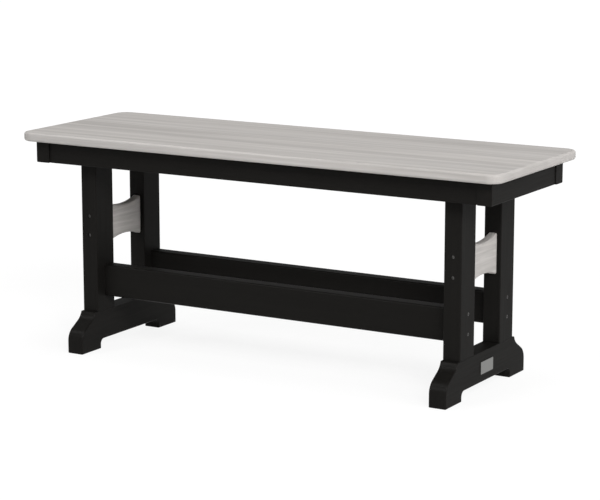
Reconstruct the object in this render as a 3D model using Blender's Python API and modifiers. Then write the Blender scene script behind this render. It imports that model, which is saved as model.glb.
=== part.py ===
"""Dining bench of poly lumber: a seat board on an apron frame, carried by two trestles.

Metres, +Z up, X along the bench, the front at -Y. The origin is on the floor under the middle of the seat.
"""

import math

import bmesh
import bpy
from mathutils import Matrix, Vector

# Clearances between pieces
JOINT_GAP = 0.0003  # between two pieces that touch
SCREW_GAP = 0.0003  # around a screw in its hole

# Seat board
SEAT_LENGTH = 1.1176
SEAT_DEPTH = 0.381
SEAT_THICKNESS = 0.019
SEAT_HEIGHT = 0.4696  # top face above the floor
SEAT_CORNER_RADIUS = 0.028
SEAT_EDGE_RADIUS = 0.0055

# Apron under the seat
APRON_THICKNESS = 0.032
APRON_HEIGHT = 0.0465
APRON_END_OVERHANG = 0.0253  # seat edge past the end boards' outer faces
APRON_SIDE_OVERHANG = 0.0303  # seat edge past the long rails' outer faces
END_BOARD_PROUD = 0.0032  # front ends of the end boards, in front of the front rail
REAR_RAIL_PROUD = 0.002  # ends of the rear rail, past the end boards

# Posts
POST_WIDTH = 0.0377  # along the bench
POST_DEPTH = 0.0629  # across the bench
POST_TO_RAIL = 0.0078  # clearance between a post and the rail beside it
TRESTLE_INSET = 0.083  # apron's end face to the trestle's outer face

# Feet, as wide as the posts
FOOT_SETBACK = 0.0112  # seat edge to the end of the foot
FOOT_HEIGHT = 0.0825
FOOT_END_HEIGHT = 0.027  # straight part of the end face
FOOT_NOSE_RADIUS = 0.030
FOOT_COVE_RADIUS = 0.030
FOOT_SLOPE = math.radians(31.3)
FOOT_SHOULDER = 0.010  # flat top outside the post
FOOT_ARCH_HEIGHT = 0.0203
FOOT_ARCH_FILLET = 0.011
FOOT_PAD_LENGTH = 0.0695  # part of the foot that stands on the floor, at each end

# Braces between the two posts of a trestle
BRACE_THICKNESS = 0.019
BRACE_HEIGHT = 0.085  # at its ends
BRACE_HOLLOW = 0.010  # depth of the arc in its top and bottom edges
BRACE_ABOVE_STRETCHER = 0.043
BRACE_EDGE_RADIUS = 0.0015

# Stretchers between the trestles
STRETCHER_THICKNESS = 0.032
STRETCHER_HEIGHT = 0.068
STRETCHER_ABOVE_FOOT = 0.0305
STRETCHER_SETBACK = 0.027  # behind the front face of its post
STRETCHER_EDGE_RADIUS = 0.003

# Battens and corner blocks under the seat
BATTEN_THICKNESS = 0.032
BATTEN_HEIGHT = 0.038
BLOCK_DEPTH = 0.038
BLOCK_HEIGHT = 0.038
BLOCK_TO_POST = 0.0127  # clearance between a corner block and the trestle

# Plaque on the outer face of the right foot
PLAQUE_LENGTH = 0.0555
PLAQUE_HEIGHT = 0.0255
PLAQUE_THICKNESS = 0.001
PLAQUE_ABOVE_ARCH = 0.0165
PLAQUE_CORNER_RADIUS = 0.0015

# Screws, all of one gauge. A bite is the length that holds in the second piece.
SCREW_SHANK_RADIUS = 0.0024
SCREW_HEAD_RADIUS = 0.0035
SCREW_HEAD_DEPTH = 0.0025
SCREW_TIP_LENGTH = 0.006
SCREW_SINK = 0.0012  # head below the face it is driven into
SCREW_EDGE = 0.0125  # from the edge of a piece to a screw in it
BRACE_SCREW_BITE = 0.027
BRACE_SCREW_ABOVE_END = 0.024  # lower screw, above the brace's bottom edge
BRACE_SCREW_BELOW_END = 0.020  # upper screw, below the brace's top edge
STRETCHER_SCREW_BITE = 0.036
STRETCHER_SCREW_INSET = 0.009  # behind the stretcher's front face
STRETCHER_SCREW_ABOVE_EDGE = 0.018
STRETCHER_SCREW_BELOW_EDGE = 0.0095
FOOT_SCREW_BITE = 0.022
FOOT_SCREW_TO_FILLET = 0.008  # from the arch's rounded end to the nearer screw
POST_SCREW_BITE = 0.025
SEAT_SCREW_BITE = 0.0125

# Small roundings and how finely curves are drawn
BOARD_EDGE_RADIUS = 0.002
EDGE_SEGMENTS = 2
SEAT_EDGE_SEGMENTS = 3
SEAT_CORNER_STEPS = 7
FOOT_ARC_STEPS = 6
BRACE_ARC_STEPS = 8
PLAQUE_CORNER_STEPS = 3
SHOWN_SCREW_SIDES = 12
HIDDEN_SCREW_SIDES = 8
SHARP_ANGLE = math.radians(35)  # edges sharper than this are corners, the others are parts of a curve
CUT_PAST_FACE = 0.005  # how far a screw hole's cutter stands out of the board

# Places that several pieces share
SEAT_UNDERSIDE = SEAT_HEIGHT - SEAT_THICKNESS
FRAME_TOP = SEAT_UNDERSIDE - JOINT_GAP
APRON_BOTTOM = FRAME_TOP - APRON_HEIGHT
END_OUTER_X = SEAT_LENGTH / 2 - APRON_END_OVERHANG
END_INNER_X = END_OUTER_X - APRON_THICKNESS
RAIL_OUTER_Y = SEAT_DEPTH / 2 - APRON_SIDE_OVERHANG
RAIL_INNER_Y = RAIL_OUTER_Y - APRON_THICKNESS
TRESTLE_X = END_OUTER_X - TRESTLE_INSET - POST_WIDTH / 2
POST_INNER_X = TRESTLE_X - POST_WIDTH / 2
POST_OUTER_X = TRESTLE_X + POST_WIDTH / 2
POST_OUTER_Y = RAIL_INNER_Y - POST_TO_RAIL
POST_INNER_Y = POST_OUTER_Y - POST_DEPTH
POST_BOTTOM = FOOT_HEIGHT + JOINT_GAP
FOOT_END_Y = SEAT_DEPTH / 2 - FOOT_SETBACK
ARCH_END_Y = FOOT_END_Y - FOOT_PAD_LENGTH
ARCH_FLAT_Y = ARCH_END_Y - FOOT_ARCH_FILLET
STRETCHER_BOTTOM = FOOT_HEIGHT + STRETCHER_ABOVE_FOOT
STRETCHER_TOP = STRETCHER_BOTTOM + STRETCHER_HEIGHT
BRACE_BOTTOM = STRETCHER_TOP + BRACE_ABOVE_STRETCHER
BRACE_TOP = BRACE_BOTTOM + BRACE_HEIGHT
BATTEN_BOTTOM = FRAME_TOP - BATTEN_HEIGHT
SIDE_BATTEN_X = POST_INNER_X - JOINT_GAP - BATTEN_THICKNESS / 2
BLOCK_INNER_X = POST_OUTER_X + BLOCK_TO_POST
BLOCK_OUTER_X = END_INNER_X - JOINT_GAP
BLOCK_OUTER_Y = RAIL_INNER_Y - JOINT_GAP
BLOCK_INNER_Y = BLOCK_OUTER_Y - BLOCK_DEPTH
BLOCK_BOTTOM = FRAME_TOP - BLOCK_HEIGHT

SIDES = {"left": -1, "right": 1}
ENDS = {"front": -1, "rear": 1}


# Scene, collections and materials


def clear_scene():
    for item in list(bpy.data.objects):
        bpy.data.objects.remove(item, do_unlink=True)


def new_collection(name):
    collection = bpy.data.collections.new(name)
    bpy.context.scene.collection.children.link(collection)
    return collection


def new_material(name, colour, roughness, metallic=0.0):
    material = bpy.data.materials.new(name)
    material.use_nodes = True
    shader = material.node_tree.nodes["Principled BSDF"]
    shader.inputs["Base Color"].default_value = (*colour, 1.0)
    shader.inputs["Roughness"].default_value = roughness
    shader.inputs["Metallic"].default_value = metallic
    material.diffuse_color = (*colour, 1.0)
    return material


clear_scene()
PARTS = new_collection("dining_bench")
CUTTERS = new_collection("cutters")
DRIFTWOOD = new_material("driftwood_board", (0.44, 0.42, 0.40), 0.55)
BLACK = new_material("black_board", (0.012, 0.011, 0.010), 0.45)
SCREW_STEEL = new_material("coated_screw_steel", (0.10, 0.10, 0.10), 0.35, 1.0)
PLATE_METAL = new_material("brushed_plate", (0.35, 0.35, 0.35), 0.4, 1.0)


# Modelling helpers


def new_empty(name, place, parent=None):
    empty = bpy.data.objects.new(name, None)
    empty.empty_display_size = 0.05
    empty.location = place
    empty.parent = parent
    PARTS.objects.link(empty)
    return empty


def new_piece(name, mesh, material, parent, place=(0, 0, 0), turn=(0, 0, 0)):
    piece = bpy.data.objects.new(name, mesh)
    piece.data.materials.append(material)
    piece.location = place
    piece.rotation_euler = turn
    piece.parent = parent
    PARTS.objects.link(piece)
    return piece


def round_edges(piece, radius, segments=EDGE_SEGMENTS):
    bevel = piece.modifiers.new("Rounded edges", "BEVEL")
    bevel.width = radius
    bevel.segments = segments
    bevel.limit_method = "ANGLE"
    bevel.angle_limit = SHARP_ANGLE


def arc(centre, radius, start, end, steps):
    """Points along an arc from one angle to the other, in radians, with both ends."""
    angles = [start + (end - start) * step / steps for step in range(steps + 1)]
    return [(centre[0] + radius * math.cos(a), centre[1] + radius * math.sin(a)) for a in angles]


def rounded_rectangle(length, width, radius, steps):
    across, up = length / 2 - radius, width / 2 - radius
    points = []
    for quarter, (x, y) in enumerate([(across, up), (-across, up), (-across, -up), (across, -up)]):
        start = quarter * math.pi / 2
        points += arc((x, y), radius, start, start + math.pi / 2, steps)
    return points


def mesh_of(holder):
    """The evaluated mesh of a helper object, welded and shaded smooth; the helper is removed."""
    bpy.context.view_layer.update()
    graph = bpy.context.evaluated_depsgraph_get()
    mesh = bpy.data.meshes.new_from_object(holder.evaluated_get(graph))
    bpy.data.objects.remove(holder, do_unlink=True)
    shape = bmesh.new()
    shape.from_mesh(mesh)
    bmesh.ops.remove_doubles(shape, verts=shape.verts, dist=0.00001)
    shape.to_mesh(mesh)
    shape.free()
    mesh.shade_smooth()
    mesh.set_sharp_from_angle(angle=SHARP_ANGLE)
    return mesh


def extruded(name, outline, thickness):
    """A closed mesh of a flat outline, half its thickness to each side of its plane."""
    curve = bpy.data.curves.new(name, "CURVE")
    curve.dimensions = "2D"
    curve.fill_mode = "BOTH"
    curve.extrude = thickness / 2
    spline = curve.splines.new("POLY")
    spline.points.add(len(outline) - 1)
    for point, (x, y) in zip(spline.points, outline):
        point.co = (x, y, 0, 1)
    spline.use_cyclic_u = True
    holder = bpy.data.objects.new(name, curve)
    CUTTERS.objects.link(holder)
    return mesh_of(holder)


def turned(name, outline, sides):
    """A closed mesh of an outline turned about Z. The outline runs from the axis down its outer side."""
    mesh = bpy.data.meshes.new(name)
    mesh.from_pydata([(x, 0, z) for x, z in outline], [(i, i + 1) for i in range(len(outline) - 1)], [])
    holder = bpy.data.objects.new(name, mesh)
    CUTTERS.objects.link(holder)
    turn = holder.modifiers.new("Turned", "SCREW")
    turn.steps = sides
    turn.render_steps = sides
    turn.use_merge_vertices = True
    turn.merge_threshold = 0.00001
    return mesh_of(holder)


def joined_copies(name, mesh, places):
    """One mesh that holds a copy of the given mesh at each place."""
    group = bmesh.new()
    for place in places:
        before = len(group.verts)
        group.from_mesh(mesh)
        group.verts.ensure_lookup_table()
        bmesh.ops.transform(group, matrix=place, verts=group.verts[before:])
    joined = bpy.data.meshes.new(name)
    group.to_mesh(joined)
    group.free()
    bpy.data.meshes.remove(mesh)
    return joined


def board(name, low, high, material, parent, edge=BOARD_EDGE_RADIUS):
    """A straight board between two opposite corners, with rounded edges."""
    low, high = Vector(low), Vector(high)
    shape = bmesh.new()
    bmesh.ops.create_cube(shape, size=1.0)
    bmesh.ops.scale(shape, vec=high - low, verts=shape.verts)
    mesh = bpy.data.meshes.new(name)
    shape.to_mesh(mesh)
    shape.free()
    piece = new_piece(name, mesh, material, parent, place=(low + high) / 2)
    round_edges(piece, edge)
    return piece


# Screws


def driven(point, direction):
    """Where a screw goes that enters a face at this point, in this direction."""
    turn = Vector((0, 0, 1)).rotation_difference(-Vector(direction))
    return Matrix.Translation(point) @ turn.to_matrix().to_4x4()


def screw_outline(depth):
    """Half a screw in a face at z = 0, its tip at the given depth."""
    neck = SCREW_SINK + SCREW_HEAD_DEPTH
    return [
        (0, -SCREW_SINK),
        (SCREW_HEAD_RADIUS, -SCREW_SINK),
        (SCREW_SHANK_RADIUS, -neck),
        (SCREW_SHANK_RADIUS, SCREW_TIP_LENGTH - depth),
        (0, -depth),
    ]


def hole_outline(depth):
    """Half the hole that the screw goes in, open past the face."""
    bottom = -depth - SCREW_GAP
    neck = SCREW_SINK + SCREW_HEAD_DEPTH
    return [
        (0, CUT_PAST_FACE),
        (SCREW_HEAD_RADIUS + SCREW_GAP, CUT_PAST_FACE),
        (SCREW_HEAD_RADIUS + SCREW_GAP, -SCREW_SINK),
        (SCREW_SHANK_RADIUS + SCREW_GAP, -neck),
        (SCREW_SHANK_RADIUS + SCREW_GAP, bottom),
        (0, bottom),
    ]


def screws(kind, places, through, bite, pieces, parent, sides=HIDDEN_SCREW_SIDES):
    """Like screws that pass through one piece and bite in the next, and the holes for them."""
    depth = through + JOINT_GAP + bite
    mesh = turned(kind, screw_outline(depth), sides)
    mesh.materials.append(SCREW_STEEL)
    for name, place in places.items():
        screw = bpy.data.objects.new(name, mesh)
        screw.location = place.to_translation()
        screw.rotation_euler = place.to_euler()
        screw.parent = parent
        PARTS.objects.link(screw)
    holes = joined_copies(kind + "_holes", turned(kind, hole_outline(depth), sides), places.values())
    cutter = bpy.data.objects.new(kind + "_holes", holes)
    cutter.display_type = "WIRE"
    cutter.hide_render = True
    CUTTERS.objects.link(cutter)
    for piece in pieces:
        cut = piece.modifiers.new(kind, "BOOLEAN")
        cut.operation = "DIFFERENCE"
        cut.solver = "EXACT"
        cut.object = cutter


# Seat and apron


def seat_board(bench):
    outline = rounded_rectangle(SEAT_LENGTH, SEAT_DEPTH, SEAT_CORNER_RADIUS, SEAT_CORNER_STEPS)
    mesh = extruded("seat_board", outline, SEAT_THICKNESS)
    middle = (0, 0, SEAT_HEIGHT - SEAT_THICKNESS / 2)
    seat = new_piece("seat_board", mesh, DRIFTWOOD, bench, place=middle)
    round_edges(seat, SEAT_EDGE_RADIUS, SEAT_EDGE_SEGMENTS)
    return seat


def apron_rails(bench):
    """The front rail fits between the end boards; the rear rail covers their rear ends."""
    front_x = END_INNER_X - JOINT_GAP
    rear_x = END_OUTER_X + REAR_RAIL_PROUD
    board(
        "front_apron_rail",
        (-front_x, -RAIL_OUTER_Y, APRON_BOTTOM),
        (front_x, -RAIL_INNER_Y, FRAME_TOP),
        BLACK,
        bench,
    )
    board(
        "rear_apron_rail",
        (-rear_x, RAIL_INNER_Y, APRON_BOTTOM),
        (rear_x, RAIL_OUTER_Y, FRAME_TOP),
        BLACK,
        bench,
    )


def apron_end(side, bench):
    inner, outer = sorted((SIDES[side] * END_INNER_X, SIDES[side] * END_OUTER_X))
    board(
        f"{side}_apron_end",
        (inner, -RAIL_OUTER_Y - END_BOARD_PROUD, APRON_BOTTOM),
        (outer, RAIL_INNER_Y - JOINT_GAP, FRAME_TOP),
        BLACK,
        bench,
    )


def seat_batten(name, x, bench):
    across = RAIL_INNER_Y - JOINT_GAP
    return board(
        name,
        (x - BATTEN_THICKNESS / 2, -across, BATTEN_BOTTOM),
        (x + BATTEN_THICKNESS / 2, across, FRAME_TOP),
        BLACK,
        bench,
    )


def corner_block(end, side, bench):
    xs = sorted((SIDES[side] * BLOCK_INNER_X, SIDES[side] * BLOCK_OUTER_X))
    ys = sorted((ENDS[end] * BLOCK_INNER_Y, ENDS[end] * BLOCK_OUTER_Y))
    low = (xs[0], ys[0], BLOCK_BOTTOM)
    high = (xs[1], ys[1], FRAME_TOP)
    board(f"{end}_{side}_corner_block", low, high, BLACK, bench)


# Trestles, each in its own frame: x = 0 is the middle of its posts


def post(end, side, trestle):
    ys = sorted((ENDS[end] * POST_INNER_Y, ENDS[end] * POST_OUTER_Y))
    low = (-POST_WIDTH / 2, ys[0], POST_BOTTOM)
    high = (POST_WIDTH / 2, ys[1], FRAME_TOP)
    return board(f"{end}_{side}_post", low, high, BLACK, trestle)


def foot_half_outline():
    """Half a foot from the side, from the middle of its arch round its end to its flat top."""
    arch = arc(
        (ARCH_FLAT_Y, FOOT_ARCH_HEIGHT - FOOT_ARCH_FILLET),
        FOOT_ARCH_FILLET,
        math.pi / 2,
        0,
        FOOT_ARC_STEPS,
    )
    nose_centre = Vector((FOOT_END_Y - FOOT_NOSE_RADIUS, FOOT_END_HEIGHT))
    shoulder = Vector((POST_OUTER_Y + FOOT_SHOULDER, FOOT_HEIGHT))

    # The steepest slope that the shoulder allows touches the nose and passes the shoulder's corner
    to_nose = nose_centre - shoulder
    steepest = -math.atan2(to_nose.y, to_nose.x) - math.asin(FOOT_NOSE_RADIUS / to_nose.length)
    slope = min(FOOT_SLOPE, steepest)
    uphill = Vector((-math.cos(slope), math.sin(slope)))
    outward = Vector((math.sin(slope), math.cos(slope)))

    # The cove touches the slope and ends at the shoulder's corner
    start = nose_centre + outward * (FOOT_NOSE_RADIUS + FOOT_COVE_RADIUS)
    offset = start - shoulder
    along = -offset.dot(uphill)
    reach = along**2 - offset.length_squared + FOOT_COVE_RADIUS**2
    cove_centre = start + uphill * (along - math.sqrt(max(reach, 0)))
    to_shoulder = shoulder - cove_centre
    cove_end = math.atan2(to_shoulder.y, to_shoulder.x) % (2 * math.pi)

    nose = arc(nose_centre, FOOT_NOSE_RADIUS, 0, math.pi / 2 - slope, FOOT_ARC_STEPS)
    cove = arc(cove_centre, FOOT_COVE_RADIUS, 1.5 * math.pi - slope, cove_end, FOOT_ARC_STEPS)
    return [*arch, (ARCH_END_Y, 0), (FOOT_END_Y, 0), *nose, *cove]


def foot(side, trestle):
    half = foot_half_outline()
    outline = half + [(-y, z) for y, z in reversed(half)]
    mesh = extruded(f"{side}_foot", outline, POST_WIDTH)
    piece = new_piece(f"{side}_foot", mesh, BLACK, trestle, turn=(math.pi / 2, 0, math.pi / 2))
    round_edges(piece, BOARD_EDGE_RADIUS)
    return piece


def brace(side, trestle):
    """A board on edge whose top and bottom edges are hollowed in a shallow arc."""
    half_length = POST_INNER_Y - JOINT_GAP
    half_height = BRACE_HEIGHT / 2
    radius = (half_length**2 + BRACE_HOLLOW**2) / (2 * BRACE_HOLLOW)
    spread = math.asin(half_length / radius)
    top_centre = (0, half_height - BRACE_HOLLOW + radius)
    bottom_centre = (0, -top_centre[1])
    down, up = 1.5 * math.pi, 0.5 * math.pi
    top = arc(top_centre, radius, down + spread, down - spread, BRACE_ARC_STEPS)
    bottom = arc(bottom_centre, radius, up + spread, up - spread, BRACE_ARC_STEPS)
    mesh = extruded(f"{side}_brace", top + bottom, BRACE_THICKNESS)
    middle = (0, 0, (BRACE_BOTTOM + BRACE_TOP) / 2)
    piece = new_piece(f"{side}_brace", mesh, DRIFTWOOD, trestle, middle, (math.pi / 2, 0, math.pi / 2))
    round_edges(piece, BRACE_EDGE_RADIUS)
    return piece


def stretcher(end, bench):
    """A board on edge between the trestles, set back behind the front face of its posts."""
    post_front = -POST_OUTER_Y if end == "front" else POST_INNER_Y
    front = post_front + STRETCHER_SETBACK
    reach = POST_INNER_X - JOINT_GAP
    low = (-reach, front, STRETCHER_BOTTOM)
    high = (reach, front + STRETCHER_THICKNESS, STRETCHER_TOP)
    return board(f"{end}_stretcher", low, high, BLACK, bench, STRETCHER_EDGE_RADIUS)


def foot_plaque(bench):
    outline = rounded_rectangle(PLAQUE_LENGTH, PLAQUE_HEIGHT, PLAQUE_CORNER_RADIUS, PLAQUE_CORNER_STEPS)
    mesh = extruded("foot_plaque", outline, PLAQUE_THICKNESS)
    x = POST_OUTER_X + JOINT_GAP + PLAQUE_THICKNESS / 2
    z = FOOT_ARCH_HEIGHT + PLAQUE_ABOVE_ARCH + PLAQUE_HEIGHT / 2
    new_piece("foot_plaque", mesh, PLATE_METAL, bench, (x, 0, z), (math.pi / 2, 0, math.pi / 2))


# Assembly


def brace_screws(posts, braces, bench):
    heights = {"lower": BRACE_BOTTOM + BRACE_SCREW_ABOVE_END, "upper": BRACE_TOP - BRACE_SCREW_BELOW_END}
    places = {
        f"{end}_{side}_brace_screw_{level}": driven((x * TRESTLE_X, y * POST_OUTER_Y, z), (0, -y, 0))
        for side, x in SIDES.items()
        for end, y in ENDS.items()
        for level, z in heights.items()
    }
    held = [*posts, *braces]
    screws("brace_screw", places, POST_DEPTH, BRACE_SCREW_BITE, held, bench, SHOWN_SCREW_SIDES)


def stretcher_screws(posts, stretchers, bench):
    lower = STRETCHER_BOTTOM + STRETCHER_SCREW_ABOVE_EDGE
    upper = STRETCHER_TOP - STRETCHER_SCREW_BELOW_EDGE
    inset = STRETCHER_SETBACK + STRETCHER_SCREW_INSET
    post_fronts = {"front": -POST_OUTER_Y, "rear": POST_INNER_Y}
    places = {
        f"{end}_{side}_stretcher_screw_{level}": driven((x * POST_OUTER_X, y + inset, z), (-x, 0, 0))
        for side, x in SIDES.items()
        for end, y in post_fronts.items()
        for level, z in {"lower": lower, "upper": upper}.items()
    }
    held = [*posts, *stretchers]
    screws("stretcher_screw", places, POST_WIDTH, STRETCHER_SCREW_BITE, held, bench, SHOWN_SCREW_SIDES)


def foot_screws(feet, posts, bench):
    rows = {"inner": POST_INNER_Y + SCREW_EDGE, "outer": ARCH_FLAT_Y - FOOT_SCREW_TO_FILLET}
    places = {
        f"{end}_{side}_foot_screw_{row}": driven((x * TRESTLE_X, y * across, FOOT_ARCH_HEIGHT), (0, 0, 1))
        for side, x in SIDES.items()
        for end, y in ENDS.items()
        for row, across in rows.items()
    }
    through = FOOT_HEIGHT - FOOT_ARCH_HEIGHT
    screws("foot_screw", places, through, FOOT_SCREW_BITE, [*feet, *posts], bench)


def post_screws(battens, posts, bench):
    face_x = SIDE_BATTEN_X - BATTEN_THICKNESS / 2
    z = FRAME_TOP - BATTEN_HEIGHT / 2
    places = {
        f"{end}_{side}_post_screw": driven((x * face_x, y * (POST_OUTER_Y - SCREW_EDGE), z), (x, 0, 0))
        for side, x in SIDES.items()
        for end, y in ENDS.items()
    }
    screws("post_screw", places, BATTEN_THICKNESS, POST_SCREW_BITE, [*battens, *posts], bench)


def seat_screws(battens, seat, bench):
    battens_x = {"left": -SIDE_BATTEN_X, "centre": 0, "right": SIDE_BATTEN_X}
    places = {
        f"{end}_{where}_seat_screw": driven((x, y * POST_INNER_Y, BATTEN_BOTTOM), (0, 0, 1))
        for where, x in battens_x.items()
        for end, y in ENDS.items()
    }
    screws("seat_screw", places, BATTEN_HEIGHT, SEAT_SCREW_BITE, [*battens, seat], bench)


def main():
    bench = new_empty("bench", (0, 0, 0))
    seat = seat_board(bench)
    apron_rails(bench)
    for side in SIDES:
        apron_end(side, bench)
        for end in ENDS:
            corner_block(end, side, bench)
    side_battens = [
        seat_batten(f"{side}_seat_batten", x * SIDE_BATTEN_X, bench) for side, x in SIDES.items()
    ]
    centre_batten = seat_batten("centre_seat_batten", 0, bench)

    posts, feet, braces = [], [], []
    for side, x in SIDES.items():
        trestle = new_empty(f"{side}_trestle", (x * TRESTLE_X, 0, 0), bench)
        posts += [post(end, side, trestle) for end in ENDS]
        feet.append(foot(side, trestle))
        braces.append(brace(side, trestle))
    stretchers = [stretcher(end, bench) for end in ENDS]
    foot_plaque(bench)

    brace_screws(posts, braces, bench)
    stretcher_screws(posts, stretchers, bench)
    foot_screws(feet, posts, bench)
    post_screws(side_battens, posts, bench)
    seat_screws([*side_battens, centre_batten], seat, bench)


main()
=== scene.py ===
# Dining bench: a driftwood-coloured seat on a black frame, both of poly lumber
# Metres, X along the bench, the front at -Y, the floor at Z = 0

import math

import bmesh
import bpy
from mathutils import Matrix, Vector


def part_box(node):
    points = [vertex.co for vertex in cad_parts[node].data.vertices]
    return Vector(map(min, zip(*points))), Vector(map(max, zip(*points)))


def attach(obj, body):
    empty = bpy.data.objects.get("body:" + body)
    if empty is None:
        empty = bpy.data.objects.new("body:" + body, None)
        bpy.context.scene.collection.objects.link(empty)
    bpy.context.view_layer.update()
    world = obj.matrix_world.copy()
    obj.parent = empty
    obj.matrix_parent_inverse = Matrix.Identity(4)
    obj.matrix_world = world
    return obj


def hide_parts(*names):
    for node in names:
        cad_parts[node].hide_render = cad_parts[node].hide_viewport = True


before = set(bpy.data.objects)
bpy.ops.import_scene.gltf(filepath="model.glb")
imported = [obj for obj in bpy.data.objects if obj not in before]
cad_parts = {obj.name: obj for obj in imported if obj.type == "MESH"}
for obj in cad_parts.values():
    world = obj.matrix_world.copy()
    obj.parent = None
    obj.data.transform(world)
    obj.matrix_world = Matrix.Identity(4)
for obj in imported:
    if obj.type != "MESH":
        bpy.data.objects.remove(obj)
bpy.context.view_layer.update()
print("frame loaded:", len(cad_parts), "nodes")

axisX = Vector((1, 0, 0))
axisY = Vector((0, 1, 0))
axisZ = Vector((0, 0, 1))
sharpAngle = math.radians(35)  # edges sharper than this are corners
closeEnough = 0.00001  # places that differ by less than this are the same
speck = 0.000003  # a screw's points that are closer than this are merged

# Camera: the photograph's viewing angle, from the front right and a little above

camera = {
    "place": (2.2774, -3.8349, 1.1324),
    "turn": 0.5323,  # from looking along +Y towards -X, in radians
    "tilt": 0.1977,  # below the horizon, in radians
    "lens": 131.18,
    "sensorWidth": 36.0,
    "farthest": 60.0,
}


def makeCamera():
    data = bpy.data.cameras.new("benchCamera")
    data.lens = camera["lens"]
    data.sensor_width = camera["sensorWidth"]
    data.clip_end = camera["farthest"]
    item = bpy.data.objects.new("benchCamera", data)
    item.location = camera["place"]
    item.rotation_euler = (math.pi / 2 - camera["tilt"], 0, camera["turn"])
    bpy.context.scene.collection.objects.link(item)
    bpy.context.scene.camera = item


# Light: far soft boxes round the bench, and a room whose walls are white near the floor

lamps = {
    "keyBox": {"azimuth": -50, "height": 34, "size": (3.0, 3.0), "power": 485},
    "sideBox": {"azimuth": -35, "height": 30, "size": (3.0, 3.0), "power": 150},
    "rightBox": {"azimuth": -8, "height": 25, "size": (5.0, 2.5), "power": 305},
    "leftBox": {"azimuth": -115, "height": 30, "size": (3.0, 3.0), "power": 155},
    "highBox": {"azimuth": -142, "height": 50, "size": (1.5, 1.5), "power": 120},
    "topBox": {"azimuth": 60, "height": 85, "size": (5.0, 5.0), "power": 413},
}
lampDistance = 10.0

room = {
    "wall": 1.0,
    "ceiling": 0.4,
    "wallHeight": 0.25,  # where the white has faded, as the sine of the angle above the horizon
    "fill": 0.01,  # the share of light that comes from all of the room
}


def makeLamps():
    for name, lamp in lamps.items():
        data = bpy.data.lights.new(name, "AREA")
        data.shape = "RECTANGLE"
        data.size, data.size_y = lamp["size"]
        data.energy = lamp["power"]
        item = bpy.data.objects.new(name, data)
        azimuth, height = math.radians(lamp["azimuth"]), math.radians(lamp["height"])
        flat = Vector((math.cos(azimuth), math.sin(azimuth), 0)) * math.cos(height)
        outwards = flat + axisZ * math.sin(height)
        item.location = outwards * lampDistance
        item.rotation_euler = outwards.to_track_quat("Z", "Y").to_euler()
        bpy.context.scene.collection.objects.link(item)


# Node helpers: an input is a plain value or another node's output


def addNode(tree, kind, inputs, **settings):
    node = tree.nodes.new(kind)
    for name, value in settings.items():
        setattr(node, name, value)
    for name, value in inputs.items():
        if isinstance(value, bpy.types.NodeSocket):
            tree.links.new(value, node.inputs[name])
        else:
            node.inputs[name].default_value = value
    return node


def addMath(tree, operation, first, second=0.0):
    return addNode(tree, "ShaderNodeMath", {0: first, 1: second}, operation=operation).outputs[0]


def addRange(tree, value, fromLow, fromHigh, toLow, toHigh):
    settings = {
        "Value": value,
        "From Min": fromLow,
        "From Max": fromHigh,
        "To Min": toLow,
        "To Max": toHigh,
    }
    return addNode(tree, "ShaderNodeMapRange", settings).outputs[0]


def addMix(tree, factor, first, second):
    return addNode(
        tree, "ShaderNodeMix", {"Factor": factor, 2: first, 3: second}, data_type="FLOAT"
    ).outputs[0]


def mixColours(tree, factor, dark, light):
    return addNode(
        tree, "ShaderNodeMix", {"Factor": factor, 6: (*dark, 1), 7: (*light, 1)}, data_type="RGBA"
    ).outputs[2]


def addShade(tree, colour, shade):
    return addNode(
        tree, "ShaderNodeVectorMath", {0: colour, "Scale": shade}, operation="SCALE"
    ).outputs[0]


def addBump(tree, shader, height, depth):
    bump = addNode(tree, "ShaderNodeBump", {"Height": height, "Strength": 1.0, "Distance": depth})
    tree.links.new(bump.outputs[0], shader.inputs["Normal"])


def seenDirectly(tree):
    # 1 for rays from the camera and for those that metal and gloss send out
    path = addNode(tree, "ShaderNodeLightPath", {}).outputs
    either = addMath(tree, "MAXIMUM", path["Is Camera Ray"], path["Is Glossy Ray"])
    return addMath(tree, "MAXIMUM", either, path["Is Transmission Ray"])


def makeRoom():
    world = bpy.data.worlds.new("studio")
    world.use_nodes = True
    tree = world.node_tree
    direction = addNode(tree, "ShaderNodeTexCoord", {}).outputs["Generated"]
    upwards = addNode(tree, "ShaderNodeSeparateXYZ", {0: direction}).outputs["Z"]
    walls = addNode(
        tree,
        "ShaderNodeMapRange",
        {
            "Value": upwards,
            "From Max": room["wallHeight"],
            "To Min": room["wall"],
            "To Max": room["ceiling"],
        },
        interpolation_type="SMOOTHSTEP",
    )
    strength = addMix(tree, seenDirectly(tree), room["fill"], walls.outputs[0])
    background = tree.nodes["Background"]
    background.inputs["Color"].default_value = (1, 1, 1, 1)
    tree.links.new(strength, background.inputs["Strength"])
    bpy.context.scene.world = world


floorLook = {
    "halfSize": 20.0,
    "colour": (0.80, 0.80, 0.80),
    "glow": (0.88, 1.0),  # what the camera sees in any light: near the bench, and far off
    "glowReach": (1.0, 7.0),  # where near ends and far starts, from the bench's middle
    "shadowColour": (0.15, 0.15, 0.15),  # how much of it the light and the shadow change
}


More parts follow.
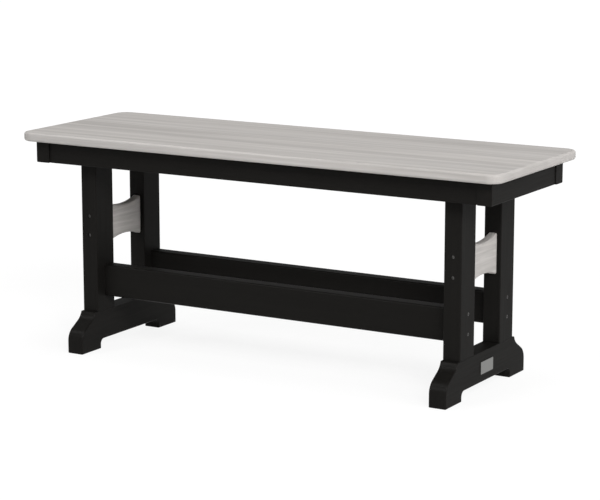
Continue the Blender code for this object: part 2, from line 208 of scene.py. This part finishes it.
def makeFloor():
    bpy.ops.object.select_all(action="DESELECT")
    bpy.ops.mesh.primitive_plane_add(size=2 * floorLook["halfSize"], location=(0, 0, 0))
    floor = bpy.context.object
    floor.name = "studioFloor"
    material = bpy.data.materials.new("studioFloor")
    material.use_nodes = True
    tree = material.node_tree
    tree.nodes.remove(tree.nodes["Principled BSDF"])
    plain = addNode(tree, "ShaderNodeBsdfDiffuse", {"Color": (*floorLook["colour"], 1)})
    shaded = addNode(tree, "ShaderNodeBsdfDiffuse", {"Color": (*floorLook["shadowColour"], 1)})
    place = addNode(tree, "ShaderNodeTexCoord", {}).outputs["Object"]
    away = addNode(tree, "ShaderNodeVectorMath", {0: place}, operation="LENGTH").outputs["Value"]
    strength = addRange(tree, away, *floorLook["glowReach"], *floorLook["glow"])
    glow = addNode(tree, "ShaderNodeEmission", {"Strength": strength})
    shown = addNode(tree, "ShaderNodeAddShader", {0: shaded.outputs[0], 1: glow.outputs[0]})
    mixed = addNode(
        tree,
        "ShaderNodeMixShader",
        {0: seenDirectly(tree), 1: plain.outputs[0], 2: shown.outputs[0]},
    )
    tree.links.new(mixed.outputs[0], tree.nodes["Material Output"].inputs["Surface"])
    floor.data.materials.append(material)


makeCamera()
makeLamps()
makeRoom()
makeFloor()
print("camera, light and floor made")

# Poly lumber: grain pressed along the board, and saw lines on its cut ends

everyBoard = {
    "bandNoise": (2, 0.5, 0.4),  # detail, roughness and distortion
    "streakNoise": (3, 0.55, 0.5),
    "grainNoise": (4, 0.6, 0.6),
    "sawNoise": (2, 0.5, 0.0),
    "sawLength": 0.05,
    "sawWidth": 0.0011,
    "pebbleScale": 1100,
    "pebbleDetail": 1,
    "pebbleShare": 0.12,  # how deep the pebbles are beside the pressed grain
    "noiseReach": (0.3, 0.7),  # the values between which a noise mostly lies
    "streakReach": (0.36, 0.64),
    "flatFace": 0.97,  # how squarely a face has to look along an axis to count as flat
    "specular": 0.06,
}

driftwood = {
    **everyBoard,
    "slot": "driftwood_board",
    "light": (0.490, 0.469, 0.452),
    "dark": (0.430, 0.409, 0.391),
    "bandLength": 1.6,
    "bandWidth": 0.050,
    "streakLength": 1.15,
    "streakWidth": 0.0190,
    "streakTone": 0.24,
    "grainLength": 0.14,
    "grainWidth": 0.0036,
    "grainTone": 0.12,
    "pressDepth": 0.00012,
    "roughness": (0.50, 0.64),
    "milledRoughness": 0.57,
    "endFade": (0.10, 0.60),  # how far a face has to lean along the grain to lose its streaks
}

# The braces are short cuts of the same board, where its wavier grain shows; their colours are
# painted lighter than the board's own, as painted light for the light they catch
driftwoodBrace = {
    **driftwood,
    # painted light: both colours are lighter than the same board's on the seat
    "light": (0.520, 0.498, 0.480),
    "dark": (0.456, 0.434, 0.415),
    "bandLength": 0.20,
    "bandWidth": 0.022,
    "streakLength": 0.09,
    "streakWidth": 0.0060,
    "streakTone": 0.16,
}

black = {
    **everyBoard,
    "slot": "black_board",
    "light": (0.0088, 0.0082, 0.0074),
    "dark": (0.0075, 0.0070, 0.0063),
    "bandLength": 0.9,
    "bandWidth": 0.030,
    "streakLength": 0.25,
    "streakWidth": 0.0070,
    "streakTone": 0.06,
    "grainLength": 0.11,
    "grainWidth": 0.0026,
    "grainTone": 0.07,
    "pressDepth": 0.00004,
    "roughness": (0.54, 0.62),
    "milledRoughness": 0.58,
    "endFade": (0.85, 0.95),
}

# The feet's curves and the stretchers' edges are routed, which leaves them smoother
routed = {**black, "milledRoughness": 0.34}


def stretched(tree, place, along, length, width):
    scale = [1 / width] * 3
    scale[along] = 1 / length
    return addNode(tree, "ShaderNodeMapping", {"Vector": place, "Scale": scale}).outputs[0]


def addNoise(tree, place, scale, detail, roughness=0.5, distortion=0.0):
    settings = {
        "Vector": place,
        "Scale": scale,
        "Detail": detail,
        "Roughness": roughness,
        "Distortion": distortion,
    }
    return addNode(tree, "ShaderNodeTexNoise", settings).outputs["Fac"]


def addDrawnOut(tree, place, look, part, along):
    # Noise that is long along one axis and narrow across it
    drawn = stretched(tree, place, along, look[part + "Length"], look[part + "Width"])
    return addNoise(tree, drawn, 1, *look[part + "Noise"])


def newMaterial(name):
    material = bpy.data.materials.new(name)
    material.use_nodes = True
    place = addNode(material.node_tree, "ShaderNodeTexCoord", {}).outputs["Object"]
    return material, material.node_tree, material.node_tree.nodes["Principled BSDF"], place


def addCutEnd(tree, along, fade):
    # 1 on the faces that look along the grain, fading in over the rounding before them
    axis = [0.0, 0.0, 0.0]
    axis[along] = 1.0
    normal = addNode(tree, "ShaderNodeTexCoord", {}).outputs["Normal"]
    facing = addNode(tree, "ShaderNodeVectorMath", {0: normal, 1: axis}, operation="DOT_PRODUCT")
    lean = addMath(tree, "ABSOLUTE", facing.outputs["Value"])
    return addRange(tree, lean, *fade, 0, 1)


def addFlat(tree, limit):
    # 1 on the board's flat faces, 0 on its rounded edges and milled curves
    normal = addNode(tree, "ShaderNodeTexCoord", {}).outputs["Normal"]
    facing = addNode(tree, "ShaderNodeVectorMath", {0: normal}, operation="ABSOLUTE")
    parts = addNode(tree, "ShaderNodeSeparateXYZ", {0: facing.outputs["Vector"]}).outputs
    most = addMath(tree, "MAXIMUM", addMath(tree, "MAXIMUM", parts["X"], parts["Y"]), parts["Z"])
    return addMath(tree, "GREATER_THAN", most, limit)


def makeLumber(name, look, along):
    material, tree, shader, place = newMaterial(name)
    bands = addDrawnOut(tree, place, look, "band", along)
    streaks = addDrawnOut(tree, place, look, "streak", along)
    grain = addDrawnOut(tree, place, look, "grain", along)
    saw = addDrawnOut(tree, place, look, "saw", (along + 1) % 3)
    pebble = addNoise(tree, place, look["pebbleScale"], look["pebbleDetail"])
    cutEnd = addCutEnd(tree, along, look["endFade"])
    relief = addMix(tree, cutEnd, grain, saw)

    reach = look["noiseReach"]
    base = mixColours(tree, addRange(tree, bands, *reach, 0, 1), look["dark"], look["light"])
    halfStreak, halfGrain = look["streakTone"] / 2, look["grainTone"] / 2
    streakShade = addRange(tree, streaks, *look["streakReach"], 1 - halfStreak, 1 + halfStreak)
    streakShade = addMix(tree, cutEnd, streakShade, 1.0)
    grainShade = addRange(tree, relief, *reach, 1 - halfGrain, 1 + halfGrain)
    colour = addShade(tree, base, addMath(tree, "MULTIPLY", streakShade, grainShade))
    tree.links.new(colour, shader.inputs["Base Color"])

    low, high = look["roughness"]
    pressed = addRange(tree, relief, *reach, high, low)
    roughness = addMix(tree, addFlat(tree, look["flatFace"]), look["milledRoughness"], pressed)
    tree.links.new(roughness, shader.inputs["Roughness"])
    shader.inputs["Specular IOR Level"].default_value = look["specular"]

    pebbles = addMath(tree, "MULTIPLY", pebble, look["pebbleShare"])
    addBump(tree, shader, addMath(tree, "ADD", relief, pebbles), look["pressDepth"])
    return material


lumber = {
    "driftwoodLong": makeLumber("driftwoodLong", driftwood, 0),
    "driftwoodBrace": makeLumber("driftwoodBrace", driftwoodBrace, 1),
    "blackLong": makeLumber("blackLong", black, 0),
    "blackCross": makeLumber("blackCross", black, 1),
    "blackUpright": makeLumber("blackUpright", black, 2),
    "routedLong": makeLumber("routedLong", routed, 0),
    "routedCross": makeLumber("routedCross", routed, 1),
}

steelLook = {
    "slot": "screw_steel",
    "colour": (0.105, 0.103, 0.100),
    "shade": (0.8, 1.2),  # the colour's least and most, from fleck to fleck
    "roughness": (0.30, 0.48),
    "fleckScale": 900.0,
    "fleckDetail": 3,
}

plaqueLook = {
    "slot": "plaque_metal",
    "light": (0.262, 0.262, 0.255),
    "dark": (0.198, 0.198, 0.192),
    "roughness": (0.34, 0.46),
    "brushNoise": (3, 0.5, 0.0),
    "brushLength": 0.03,
    "brushWidth": 0.00025,
    "brushDepth": 0.00001,
}


def makeSteel():
    material, tree, shader, place = newMaterial("coatedSteel")
    fleck = addNoise(tree, place, steelLook["fleckScale"], steelLook["fleckDetail"])
    shade = addRange(tree, fleck, 0, 1, *steelLook["shade"])
    roughness = addRange(tree, fleck, 0, 1, *steelLook["roughness"])
    tree.links.new(addShade(tree, steelLook["colour"], shade), shader.inputs["Base Color"])
    tree.links.new(roughness, shader.inputs["Roughness"])
    shader.inputs["Metallic"].default_value = 1.0
    return material


def makeBrushed():
    material, tree, shader, place = newMaterial("brushedPlate")
    brush = addDrawnOut(tree, place, plaqueLook, "brush", 1)
    base = mixColours(tree, brush, plaqueLook["dark"], plaqueLook["light"])
    roughness = addRange(tree, brush, 0, 1, *plaqueLook["roughness"])
    tree.links.new(base, shader.inputs["Base Color"])
    tree.links.new(roughness, shader.inputs["Roughness"])
    shader.inputs["Metallic"].default_value = 1.0
    addBump(tree, shader, brush, plaqueLook["brushDepth"])
    return material


steel = makeSteel()
brushed = makeBrushed()
print("finishes made")

# Modelling helpers


def pieceName(node):
    first, *rest = node.split("_")
    return first + "".join(word.capitalize() for word in rest)


def selectOnly(piece):
    bpy.ops.object.select_all(action="DESELECT")
    piece.select_set(True)
    bpy.context.view_layer.objects.active = piece


def extrudeBy(x, y, z):
    bpy.ops.mesh.extrude_region_move(TRANSFORM_OT_translate={"value": (x, y, z)})


def startBox(name, low, high):
    # A box between two corners, left in edit mode with all of it selected
    bpy.ops.object.select_all(action="DESELECT")
    bpy.ops.mesh.primitive_cube_add(size=1, location=(low + high) / 2, scale=high - low)
    piece = bpy.context.object
    piece.name = name
    piece.data.name = name
    bpy.ops.object.transform_apply(location=True, rotation=True, scale=True)
    bpy.ops.object.mode_set(mode="EDIT")
    return piece


def runsAlong(a, b, axis):
    # True for an edge whose ends a and b differ along the axis
    return abs(a[axis] - b[axis]) > closeEnough


def roundEdges(piece, radius, steps, wanted, sharp=False):
    # Rounds the edges for whose two ends wanted is true, or only the sharp ones among them
    bpy.ops.mesh.select_mode(type="EDGE")
    bpy.ops.mesh.select_all(action="SELECT")
    bpy.ops.mesh.normals_make_consistent(inside=False)
    bpy.ops.mesh.select_all(action="DESELECT")
    shape = bmesh.from_edit_mesh(piece.data)
    for edge in shape.edges:
        if sharp and edge.calc_face_angle(0) < sharpAngle:
            continue
        if wanted(*(corner.co for corner in edge.verts)):
            edge.select_set(True)
    bmesh.update_edit_mesh(piece.data)
    bpy.ops.mesh.bevel(offset=radius, segments=steps, affect="EDGES")


def startOutline(name, y, z):
    # One loose point on the plane X = 0, left selected in edit mode
    bpy.ops.object.select_all(action="DESELECT")
    bpy.ops.mesh.primitive_plane_add(location=(0, 0, 0))
    piece = bpy.context.object
    piece.name = name
    piece.data.name = name
    bpy.ops.object.mode_set(mode="EDIT")
    bpy.ops.mesh.select_mode(type="VERT")
    bpy.ops.mesh.merge(type="CENTER")
    bpy.ops.transform.translate(value=(0, y, z))
    return piece


def lineTo(piece, y, z):
    last = next(point.co for point in bmesh.from_edit_mesh(piece.data).verts if point.select)
    extrudeBy(0, y - last.y, z - last.z)


def turnRound(centre, angle, steps):
    # A positive angle goes clockwise, seen with +Y to the right
    middle = (0, centre[0], centre[1])
    bpy.ops.mesh.spin(steps=steps, angle=angle, center=middle, axis=axisX, use_auto_merge=False)


def closeOutline(piece):
    # Joins the outline's two ends and fills it
    bpy.ops.mesh.select_all(action="SELECT")
    bpy.ops.mesh.remove_doubles(threshold=closeEnough)
    bpy.ops.mesh.select_all(action="DESELECT")
    shape = bmesh.from_edit_mesh(piece.data)
    ends = [point for point in shape.verts if len(point.link_edges) == 1]
    for point in ends:
        point.select_set(True)
    bmesh.update_edit_mesh(piece.data)
    if ends:
        bpy.ops.mesh.edge_face_add()
    bpy.ops.mesh.select_all(action="SELECT")
    bpy.ops.mesh.edge_face_add()


def thicken(low, high):
    # The filled outline goes to X = low and is extruded to X = high
    bpy.ops.transform.translate(value=(low, 0, 0))
    extrudeBy(high - low, 0, 0)


def closeMesh():
    # Turns all faces outwards and leaves edit mode
    bpy.ops.mesh.select_all(action="SELECT")
    bpy.ops.mesh.normals_make_consistent(inside=False)
    bpy.ops.object.mode_set(mode="OBJECT")


def applyModifier(piece, kind, **settings):
    selectOnly(piece)
    modifier = piece.modifiers.new(kind.lower(), kind)
    for name, value in settings.items():
        setattr(modifier, name, value)
    bpy.ops.object.modifier_apply(modifier=modifier.name)


def mergeSpecks(piece):
    # Joining the thread to its shank leaves points that lie almost on each other
    selectOnly(piece)
    bpy.ops.object.mode_set(mode="EDIT")
    bpy.ops.mesh.select_all(action="SELECT")
    bpy.ops.mesh.remove_doubles(threshold=speck)
    bpy.ops.mesh.dissolve_degenerate(threshold=speck)
    bpy.ops.object.mode_set(mode="OBJECT")


def finishPiece(piece, node=None):
    selectOnly(piece)
    bpy.ops.object.shade_smooth_by_angle(angle=sharpAngle)
    applyModifier(piece, "WEIGHTED_NORMAL", keep_sharp=True)
    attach(piece, "root")
    if node:
        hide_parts(node)


# Screws: flat heads with a six-lobed recess, sunk a little below the face

screwShape = {
    "sides": 36,
    "headRadius": 0.0035,
    "headDepth": 0.0025,
    "rim": 0.0003,  # upright edge of the head
    "shankRadius": 0.0019,
    "tip": 0.006,
    "tipBend": (0.55, 0.35),  # where the tip gets blunter, as shares of its radius and length
    "sink": {"brace": 0.0026, "stretcher": 0.0005, "other": 0.0016},  # from the face to the head
    "cadSink": 0.0012,  # the same in the frame
    "recessRadius": 0.0017,
    "recessLobe": 0.00028,
    "recessLobes": 6,
    "recessDepth": 0.0014,
    "recessTaper": 0.86,  # the width at its bottom, as a share of that at its mouth
    "threadRadius": 0.0024,
    "threadPitch": 0.0021,
    "threadTurnSteps": 16,
    "threadRoot": 0.0003,  # how deep the ridge's foot lies in the shank
    "threadHalfWidth": 0.4,  # of the ridge's foot, as a share of the pitch
    "threadStart": 0.8,  # how far up the tip the thread starts, as a share of the tip
    "threadPastJoint": 0.002,  # how far it goes past the joint between the two boards
}

holeShape = {
    "sides": 36,
    "above": 0.001,  # how far the cutter stands out of the face
    "lip": 0.0004,  # how far and how deep the hole's mouth is flared
    "headGap": 0.0003,
    "shankGap": 0.0003,
    "cadShankRadius": 0.0024,  # the shank in the frame, which the bore goes round
}


def startTurned(name, rings, sides):
    # A round solid on Z from rings of (radius, height), each extruded from the one above it
    (radius, height), *others = rings
    bpy.ops.object.select_all(action="DESELECT")
    bpy.ops.mesh.primitive_circle_add(
        vertices=sides, radius=radius, fill_type="NGON", location=(0, 0, 0)
    )
    piece = bpy.context.object
    piece.name = name
    piece.data.name = name
    bpy.ops.object.mode_set(mode="EDIT")
    bpy.ops.mesh.select_all(action="SELECT")
    bpy.ops.transform.translate(value=(0, 0, height))
    for nextRadius, nextHeight in others:
        extrudeBy(0, 0, nextHeight - height)
        if nextRadius:
            grow = nextRadius / radius
            bpy.ops.transform.resize(value=(grow, grow, 1), center_override=(0, 0, nextHeight))
            radius = nextRadius
        else:
            bpy.ops.mesh.merge(type="CENTER")
        height = nextHeight
    return piece


def screwDirection(node):
    # The way a screw is driven, from its name
    side = -1 if "left" in node else 1
    if "brace" in node:
        return axisY if node.startswith("front") else -axisY
    if "stretcher" in node:
        return -side * axisX
    if "post_screw" in node:
        return side * axisX
    return axisZ


def drivenPlace(point, direction):
    # Turns a screw that points down at the origin, and puts its face point in place
    turn = axisZ.rotation_difference(-direction)
    return Matrix.Translation(point) @ turn.to_matrix().to_4x4()


def screwInFrame(node):
    # Where the frame has this screw: its face point, direction and whole depth
    low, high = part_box(node)
    direction = screwDirection(node)
    length = abs((high - low).dot(direction))
    point = (low + high) / 2 - direction * (length / 2 + screwShape["cadSink"])
    return point, direction, length + screwShape["cadSink"]


def makeThread(top, bottom):
    shape = screwShape
    pitch = shape["threadPitch"]
    turns = max(1, int((top - bottom) / pitch))
    core = shape["shankRadius"] - shape["threadRoot"]
    half = shape["threadHalfWidth"] * pitch
    corners = [(core, -half), (shape["threadRadius"], 0), (core, half)]
    bpy.ops.object.select_all(action="DESELECT")
    bpy.ops.mesh.primitive_circle_add(
        vertices=len(corners),
        radius=half,
        location=(core, 0, bottom),
        rotation=(math.pi / 2, 0, 0),
    )
    ridge = bpy.context.object
    bpy.ops.object.transform_apply(location=True, rotation=True, scale=True)
    # The triangle's three corners become the ridge's foot and crest
    for point, (x, z) in zip(ridge.data.vertices, corners):
        point.co = (x, 0, bottom + z)
    applyModifier(
        ridge,
        "SCREW",
        angle=2 * math.pi,
        steps=shape["threadTurnSteps"],
        render_steps=shape["threadTurnSteps"],
        screw_offset=pitch,
        iterations=turns,
        use_merge_vertices=True,
        merge_threshold=closeEnough,
    )
    bpy.ops.object.mode_set(mode="EDIT")
    bpy.ops.mesh.select_mode(type="EDGE")
    bpy.ops.mesh.select_all(action="DESELECT")
    bpy.ops.mesh.select_non_manifold()
    bpy.ops.mesh.fill_holes(sides=len(corners))
    closeMesh()
    return ridge


def makeScrew(name, depth, joint, sink):
    # depth is from the face to the tip, joint from the face to where the second board starts
    shape = screwShape
    top = -sink
    neck = top - shape["headDepth"]
    bendRadius, bendHeight = shape["tipBend"]
    rings = [
        (shape["headRadius"], top),
        (shape["headRadius"], top - shape["rim"]),
        (shape["shankRadius"], neck),
        (shape["shankRadius"], shape["tip"] - depth),
        (shape["shankRadius"] * bendRadius, shape["tip"] * bendHeight - depth),
        (0, -depth),
    ]
    screw = startTurned(name, rings, shape["sides"])

    # The recess: an inset ring pushed into lobes, then sunk
    bpy.ops.mesh.select_mode(type="FACE")
    bpy.ops.mesh.select_all(action="DESELECT")
    mesh = bmesh.from_edit_mesh(screw.data)
    for face in mesh.faces:
        face.select_set(all(abs(point.co.z - top) < closeEnough for point in face.verts))
    bmesh.update_edit_mesh(screw.data)
    bpy.ops.mesh.inset(thickness=shape["headRadius"] - shape["recessRadius"])
    mesh = bmesh.from_edit_mesh(screw.data)
    for point in mesh.verts:
        if point.select:
            angle = math.atan2(point.co.y, point.co.x)
            wave = math.cos(shape["recessLobes"] * angle)
            radius = shape["recessRadius"] + shape["recessLobe"] * wave
            point.co.x = radius * math.cos(angle)
            point.co.y = radius * math.sin(angle)
    bmesh.update_edit_mesh(screw.data)
    extrudeBy(0, 0, -shape["recessDepth"])
    taper = shape["recessTaper"]
    bpy.ops.transform.resize(value=(taper, taper, 1), center_override=(0, 0, top))
    closeMesh()

    threadTop = shape["threadPastJoint"] - joint
    ridge = makeThread(threadTop, shape["tip"] * shape["threadStart"] - depth)
    applyModifier(screw, "BOOLEAN", object=ridge, operation="UNION", solver="EXACT")
    bpy.data.objects.remove(ridge, do_unlink=True)
    mergeSpecks(screw)
    screw.data.materials.append(steel)
    return screw


def makeHole(name, depth, sink):
    # What a screw cuts out of the boards: a flared mouth, a seat for the head and a bore
    hole = holeShape
    head = screwShape["headRadius"] + hole["headGap"]
    bore = hole["cadShankRadius"] + hole["shankGap"]
    rings = [
        (head + hole["lip"] + hole["above"], hole["above"]),
        (head, -hole["lip"]),
        (head, -sink - screwShape["rim"]),
        (bore, -sink - screwShape["headDepth"]),
        (bore, -depth - hole["shankGap"]),
    ]
    cutter = startTurned(name, rings, hole["sides"])
    closeMesh()
    return cutter


def copyAt(model, name, place):
    mesh = model.data.copy()
    mesh.name = name
    mesh.transform(place)
    piece = bpy.data.objects.new(name, mesh)
    bpy.context.scene.collection.objects.link(piece)
    return piece


def driveScrews(kind, spots, joint, boards):
    # spots holds name: (face point, direction, depth, node or None), all of one depth
    # boards are the pieces that the screws go through
    depth = next(iter(spots.values()))[2]
    sinks = screwShape["sink"]
    sink = sinks.get(kind.removesuffix("Screw"), sinks["other"])
    model = makeScrew(kind + "Model", depth, joint, sink)
    hole = makeHole(kind + "Hole", depth, sink)
    cutters = []
    for name, (point, direction, _, node) in spots.items():
        place = drivenPlace(point, direction)
        finishPiece(copyAt(model, name, place), node)
        cutters.append(copyAt(hole, kind + "Cutter", place))
    selectOnly(cutters[0])
    for cutter in cutters:
        cutter.select_set(True)
    bpy.ops.object.join()
    for board in boards:
        applyModifier(board, "BOOLEAN", object=cutters[0], operation="DIFFERENCE", solver="EXACT")
    for spare in (model, hole, cutters[0]):
        bpy.data.objects.remove(spare, do_unlink=True)


# Seat: one board with rounded corners and softly rounded edges

seat = {
    "cornerRadius": 0.028,
    "cornerSteps": 14,
    "edgeRadius": 0.0055,
    "edgeSteps": 6,
}


def makeSeat():
    low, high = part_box("seat_board")
    piece = startBox("seatBoard", low, high)
    roundEdges(piece, seat["cornerRadius"], seat["cornerSteps"], lambda a, b: runsAlong(a, b, 2))
    roundEdges(piece, seat["edgeRadius"], seat["edgeSteps"], lambda a, b: not runsAlong(a, b, 2))
    closeMesh()
    piece.data.materials.append(lumber["driftwoodLong"])
    return piece


# Straight boards: the long edges are rounded over, and the cut ends only have their burr taken off

boardEdges = {
    "apron": 0.0025,
    "post": 0.0025,
    "stretcher": 0.0040,
    "batten": 0.0025,
    "block": 0.0020,
    "steps": 5,
    "burr": 0.0004,
    "burrSteps": 2,
}

grainAxes = {"Long": 0, "Cross": 1, "Upright": 2}


def takeBurr(piece, wanted):
    roundEdges(piece, boardEdges["burr"], boardEdges["burrSteps"], wanted)


def makeBoard(node, edge, grain, finish="black"):
    low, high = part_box(node)
    along = grainAxes[grain]
    piece = startBox(pieceName(node), low, high)
    roundEdges(piece, edge, boardEdges["steps"], lambda a, b: runsAlong(a, b, along))
    takeBurr(piece, lambda a, b: not runsAlong(a, b, along))
    closeMesh()
    piece.data.materials.append(lumber[finish + grain])
    return piece


# Feet: an arch underneath, a rounded nose, a slope and a cove up to the flat top

footShape = {
    "endHeight": 0.027,
    "noseRadius": 0.030,
    "coveRadius": 0.030,
    "slope": math.radians(31.3),
    "shoulder": 0.010,  # flat top outside the post
    "archHeight": 0.0203,
    "archFillet": 0.011,
    "padLength": 0.0695,
    "arcSteps": 16,
    "edgeRadius": 0.0022,
    "edgeSteps": 4,
}


def makeFoot(side):
    shape = footShape
    low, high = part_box(f"{side}_foot")
    shoulder = Vector((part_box(f"rear_{side}_post")[1].y + shape["shoulder"], high.z))
    noseRadius, coveRadius, slope = shape["noseRadius"], shape["coveRadius"], shape["slope"]
    nose = Vector((high.y - noseRadius, shape["endHeight"]))
    uphill = Vector((-math.cos(slope), math.sin(slope)))
    outward = Vector((math.sin(slope), math.cos(slope)))

    # The cove's centre slides along a line beside the slope until its arc ends at the shoulder
    start = nose + outward * (noseRadius + coveRadius)
    offset = start - shoulder
    along = -offset.dot(uphill)
    cove = start + uphill * (along - math.sqrt(along**2 - offset.length_squared + coveRadius**2))
    slopeTop = cove - outward * coveRadius
    toShoulder = shoulder - cove
    # Seen from its centre, the cove starts at three quarters of a turn less the slope
    coveAngle = 1.5 * math.pi - slope - math.atan2(toShoulder.y, toShoulder.x) % (2 * math.pi)
    archEnd = high.y - shape["padLength"]
    fillet = shape["archFillet"]

    piece = startOutline(f"{side}Foot", 0, shape["archHeight"])
    lineTo(piece, archEnd - fillet, shape["archHeight"])
    turnRound((archEnd - fillet, shape["archHeight"] - fillet), math.pi / 2, shape["arcSteps"])
    lineTo(piece, archEnd, 0)
    lineTo(piece, high.y, 0)
    lineTo(piece, high.y, shape["endHeight"])
    turnRound(nose, -(math.pi / 2 - slope), shape["arcSteps"])
    lineTo(piece, *slopeTop)
    turnRound(cove, coveAngle, shape["arcSteps"])
    lineTo(piece, 0, high.z)
    bpy.ops.mesh.select_all(action="SELECT")
    bpy.ops.mesh.duplicate()
    bpy.ops.transform.resize(value=(1, -1, 1), center_override=(0, 0, 0))
    closeOutline(piece)
    thicken(low.x, high.x)
    belowTop = high.z - closeEnough
    roundEdges(
        piece,
        shape["edgeRadius"],
        shape["edgeSteps"],
        lambda a, b: min(a.z, b.z) < belowTop or runsAlong(a, b, 0),
        sharp=True,
    )
    closeMesh()
    piece.data.materials.append(lumber["routedCross"])
    return piece


# Braces: pale boards between the posts, their top and bottom edges hollowed in an arc

braceShape = {
    "hollow": 0.010,
    "arcSteps": 28,
    "edgeRadius": 0.0040,
    "edgeSteps": 5,
}


def makeBrace(side):
    low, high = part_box(f"{side}_brace")
    reach = high.y
    hollow = braceShape["hollow"]
    radius = (reach**2 + hollow**2) / (2 * hollow)
    spread = 2 * math.asin(reach / radius)
    piece = startOutline(f"{side}Brace", reach, high.z)
    turnRound((0, high.z - hollow + radius), spread, braceShape["arcSteps"])
    lineTo(piece, -reach, low.z)
    turnRound((0, low.z + hollow - radius), spread, braceShape["arcSteps"])
    closeOutline(piece)
    thicken(low.x, high.x)
    nearEnd = reach - closeEnough
    roundEdges(
        piece,
        braceShape["edgeRadius"],
        braceShape["edgeSteps"],
        lambda a, b: not runsAlong(a, b, 0) and min(abs(a.y), abs(b.y)) < nearEnd,
        sharp=True,
    )
    takeBurr(piece, lambda a, b: min(abs(a.y), abs(b.y)) > nearEnd)
    closeMesh()
    piece.data.materials.append(lumber["driftwoodBrace"])
    return piece


# Plaque: a bare metal plate with softened corners, stuck to the right foot

plaqueShape = {
    "cornerRadius": 0.0015,
    "cornerSteps": 6,
    "edgeRadius": 0.0003,
    "edgeSteps": 2,
}


def makePlaque():
    shape = plaqueShape
    piece = startBox("footPlaque", *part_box("foot_plaque"))
    roundEdges(piece, shape["cornerRadius"], shape["cornerSteps"], lambda a, b: runsAlong(a, b, 0))
    roundEdges(piece, shape["edgeRadius"], shape["edgeSteps"], lambda a, b: not runsAlong(a, b, 0))
    closeMesh()
    piece.data.materials.append(brushed)
    return piece


sides = ("left", "right")
ends = ("front", "rear")
corners = [(end, side) for end in ends for side in sides]

seatBoard = makeSeat()
rails = {end: makeBoard(f"{end}_apron_rail", boardEdges["apron"], "Long") for end in ends}
endBoards = {side: makeBoard(f"{side}_apron_end", boardEdges["apron"], "Cross") for side in sides}
battens = {
    where: makeBoard(f"{where}_seat_batten", boardEdges["batten"], "Cross")
    for where in ("left", "centre", "right")
}
blocks = {
    (end, side): makeBoard(f"{end}_{side}_corner_block", boardEdges["block"], "Upright")
    for end, side in corners
}
print("seat and apron made")

posts = {
    (end, side): makeBoard(f"{end}_{side}_post", boardEdges["post"], "Upright")
    for end, side in corners
}
feet = {side: makeFoot(side) for side in sides}
braces = {side: makeBrace(side) for side in sides}
stretchers = {
    end: makeBoard(f"{end}_stretcher", boardEdges["stretcher"], "Long", "routed") for end in ends
}
plaque = makePlaque()
print("trestles, stretchers and plaque made")


def boardSpan(node, direction):
    # How long a board is along a direction
    low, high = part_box(node)
    return abs((high - low).dot(direction))


def frameScrews(kind, first, boards):
    # All of the frame's screws of one kind; first is a board that they pass through
    nodes = [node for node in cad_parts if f"_{kind}_screw" in node]
    spots = {pieceName(node): (*screwInFrame(node), node) for node in sorted(nodes)}
    driveScrews(kind + "Screw", spots, boardSpan(first, screwDirection(nodes[0])), boards)


frameScrews("brace", "front_left_post", [*posts.values(), *braces.values()])
frameScrews("stretcher", "front_left_post", [*posts.values(), *stretchers.values()])
frameScrews("foot", "left_foot", [*feet.values(), *posts.values()])
frameScrews("post", "left_seat_batten", [battens["left"], battens["right"], *posts.values()])
frameScrews("seat", "left_seat_batten", [*battens.values(), seatBoard])
print("screws of the frame driven")

# Screws that only the looks have: up through the long rails, and out of each corner block

extraScrews = {
    "railSpacing": 0.33,
    "railBite": 0.0125,
    "blockOffset": 0.009,  # from the middle of a block, so that its three screws miss each other
    "blockBite": 0.020,
    "joint": 0.0003,  # the gap between two boards
}


def driveRailScrews():
    spots = {}
    for end in ends:
        low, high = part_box(f"{end}_apron_rail")
        for step, where in zip((-1, 0, 1), ("Left", "Centre", "Right")):
            point = Vector((step * extraScrews["railSpacing"], (low.y + high.y) / 2, low.z))
            depth = high.z - low.z + extraScrews["joint"] + extraScrews["railBite"]
            spots[f"{end}{where}RailScrew"] = (point, axisZ, depth, None)
    height = boardSpan("front_apron_rail", axisZ)
    driveScrews("railScrew", spots, height, [*rails.values(), seatBoard])


def driveBlockScrews():
    toBoards, toSeat = {}, {}
    offset = extraScrews["blockOffset"]
    for (end, side), block in blocks.items():
        low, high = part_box(f"{end}_{side}_corner_block")
        middle = (low + high) / 2
        outX = axisX if side == "right" else -axisX
        outY = axisY if end == "rear" else -axisY
        halfX, halfY, halfZ = (high - low) / 2
        name = pieceName(f"{end}_{side}_block")
        deep = 2 * halfX + extraScrews["joint"] + extraScrews["blockBite"]
        toRail = middle + outX * offset - outY * halfY + axisZ * offset
        toEnd = middle - outX * halfX + outY * offset - axisZ * offset
        toTop = middle - (outX + outY) * offset - axisZ * halfZ
        toBoards[name + "RailScrew"] = (toRail, outY, deep, None)
        toBoards[name + "EndScrew"] = (toEnd, outX, deep, None)
        shallow = 2 * halfZ + extraScrews["joint"] + extraScrews["railBite"]
        toSeat[name + "SeatScrew"] = (toTop, axisZ, shallow, None)
    held = [*blocks.values(), *rails.values(), *endBoards.values()]
    driveScrews("blockScrew", toBoards, boardSpan("front_left_corner_block", axisX), held)
    height = boardSpan("front_left_corner_block", axisZ)
    driveScrews("blockSeatScrew", toSeat, height, [*blocks.values(), seatBoard])


driveRailScrews()
driveBlockScrews()
print("screws of rails and corner blocks driven")

finishPiece(seatBoard, "seat_board")
finishPiece(plaque, "foot_plaque")
for end in ends:
    finishPiece(rails[end], f"{end}_apron_rail")
    finishPiece(stretchers[end], f"{end}_stretcher")
for side in sides:
    finishPiece(endBoards[side], f"{side}_apron_end")
    finishPiece(feet[side], f"{side}_foot")
    finishPiece(braces[side], f"{side}_brace")
for where, batten in battens.items():
    finishPiece(batten, f"{where}_seat_batten")
for (end, side), block in blocks.items():
    finishPiece(block, f"{end}_{side}_corner_block")
for (end, side), post in posts.items():
    finishPiece(post, f"{end}_{side}_post")
print("pieces finished")

bpy.context.scene.view_settings.view_transform = "Standard"
